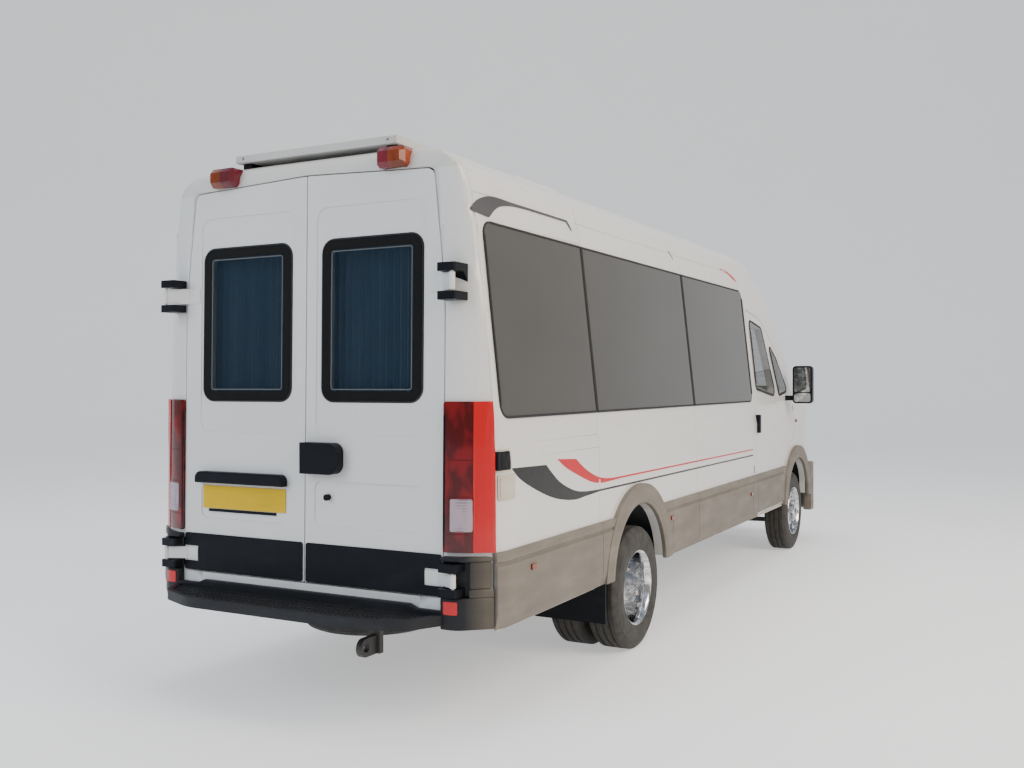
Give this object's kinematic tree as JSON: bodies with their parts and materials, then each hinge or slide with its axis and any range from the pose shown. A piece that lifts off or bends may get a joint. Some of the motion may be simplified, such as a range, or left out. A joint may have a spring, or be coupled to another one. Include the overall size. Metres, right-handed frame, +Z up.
{
  "type": "camper van",
  "caption": "High-roof long-wheelbase panel van fitted out as a camper, with twin rear wheels, side windows, opening doors, bonnet and roof window, and steered front wheels",
  "frame": {"origin": "on the ground, under the middle of the van's length and width", "axes": "X forward, Y to the van's left, Z up"},
  "size_m": [6.99, 2.41, 2.6459],
  "materials": {
    "white_paint": "gloss",
    "faded_plastic": "matt",
    "black_plastic": "satin",
    "dark_glass": "gloss",
    "cab_glass": "gloss",
    "red_lens": "gloss",
    "amber_lens": "gloss",
    "clear_lens": "gloss",
    "chassis_paint": "satin",
    "axle_iron": "rough",
    "wheel_chrome": "polished",
    "tyre_rubber": "matt",
    "bare_steel": "satin",
    "panel_frame": "satin",
    "seat_cloth": "woven",
    "curtain_cloth": "woven",
    "plate_yellow": "gloss"
  },
  "bodies": {
    "van": {"chassis_frame": "chassis_paint", "cross_members": "chassis_paint", "front_crossmember": "chassis_paint", "floor_pan": "chassis_paint", "side_panel_right": "white_paint", "side_panel_left": "white_paint", "sliding_door": "white_paint", "roof_panel": "white_paint", "rear_portal": "white_paint", "cab_frame": "white_paint", "front_wings": "white_paint", "windscreen": "cab_glass", "side_glass": "dark_glass", "front_bumper": "faded_plastic", "rear_bumper": "black_plastic", "side_cladding": "faded_plastic", "grille": "black_plastic", "headlamps": "clear_lens", "tail_lamps": "red_lens", "marker_lamps": "amber_lens", "hinge_brackets": "black_plastic", "solar_panel": "panel_frame", "roof_vent_frame": "white_paint", "rear_axle": "axle_iron", "engine": "axle_iron", "exhaust": "bare_steel", "fuel_tank": "black_plastic", "spare_wheel": "tyre_rubber", "front_arch_liners": "black_plastic", "rear_arch_liners": "black_plastic", "seats": "seat_cloth", "dashboard": "black_plastic"},
    "roof_vent_lid": {"roof_vent_lid": "white_paint"},
    "bonnet": {"bonnet": "white_paint"},
    "rear_door_left": {"rear_door_left": "white_paint", "rear_door_glass_left": "dark_glass", "rear_door_fittings_left": "black_plastic", "rear_curtain_left": "curtain_cloth", "number_plate": "plate_yellow"},
    "front_door_left": {"front_door_left": "white_paint", "front_door_glass_left": "cab_glass", "front_door_trim_left": "faded_plastic"},
    "knuckle_left": {"knuckle_left": "axle_iron"},
    "front_wheel_left": {"front_wheel_left": "wheel_chrome", "front_tyre_left": "tyre_rubber"},
    "rear_wheels_left": {"rear_wheels_left": "wheel_chrome", "rear_tyres_left": "tyre_rubber"},
    "rear_door_right": {"rear_door_right": "white_paint", "rear_door_glass_right": "dark_glass", "rear_door_fittings_right": "black_plastic", "rear_curtain_right": "curtain_cloth"},
    "front_door_right": {"front_door_right": "white_paint", "front_door_glass_right": "cab_glass", "front_door_trim_right": "faded_plastic"},
    "knuckle_right": {"knuckle_right": "axle_iron"},
    "front_wheel_right": {"front_wheel_right": "wheel_chrome", "front_tyre_right": "tyre_rubber"},
    "rear_wheels_right": {"rear_wheels_right": "wheel_chrome", "rear_tyres_right": "tyre_rubber"}
  },
  "joints": [
    {"name": "bonnet_lift", "type": "hinge", "parent": "van", "child": "bonnet", "pos_m": [2.635, 0, 1.379], "axis": [0, -1, 0], "range_deg": [0, 50]},
    {"name": "roof_vent_lift", "type": "hinge", "parent": "van", "child": "roof_vent_lid", "pos_m": [-1.495, -0.19, 2.625], "axis": [0, 1, 0], "range_deg": [0, 45]},
    {"name": "rear_wheels_left_spin", "type": "hinge", "parent": "van", "child": "rear_wheels_left", "pos_m": [-1.475, 0.77, 0.347], "axis": [0, 1, 0], "continuous": true},
    {"name": "front_steer_left", "type": "hinge", "parent": "van", "child": "knuckle_left", "pos_m": [2.475, 0.8, 0.347], "axis": [0, 0, 1], "range_deg": [-35, 35]},
    {"name": "front_wheel_left_spin", "type": "hinge", "parent": "knuckle_left", "child": "front_wheel_left", "pos_m": [2.475, 0.862, 0.347], "axis": [0, 1, 0], "continuous": true},
    {"name": "front_door_left_swing", "type": "hinge", "parent": "van", "child": "front_door_left", "pos_m": [2.381, 0.974, 1.2], "axis": [0, 0, -1], "range_deg": [0, 70]},
    {"name": "rear_door_left_swing", "type": "hinge", "parent": "van", "child": "rear_door_left", "pos_m": [-3.27, 0.835, 1.3], "axis": [0, 0, -1], "range_deg": [0, 180]},
    {"name": "rear_wheels_right_spin", "type": "hinge", "parent": "van", "child": "rear_wheels_right", "pos_m": [-1.475, -0.77, 0.347], "axis": [0, 1, 0], "continuous": true},
    {"name": "front_steer_right", "type": "hinge", "parent": "van", "child": "knuckle_right", "pos_m": [2.475, -0.8, 0.347], "axis": [0, 0, 1], "range_deg": [-35, 35]},
    {"name": "front_wheel_right_spin", "type": "hinge", "parent": "knuckle_right", "child": "front_wheel_right", "pos_m": [2.475, -0.862, 0.347], "axis": [0, 1, 0], "continuous": true},
    {"name": "front_door_right_swing", "type": "hinge", "parent": "van", "child": "front_door_right", "pos_m": [2.381, -0.974, 1.2], "axis": [0, 0, 1], "range_deg": [0, 70]},
    {"name": "rear_door_right_swing", "type": "hinge", "parent": "van", "child": "rear_door_right", "pos_m": [-3.27, -0.835, 1.3], "axis": [0, 0, 1], "range_deg": [0, 180]}
  ],
  "couplings": [
    {"joint": "front_steer_right", "follows": "front_steer_left", "ratio": 1}
  ]
}
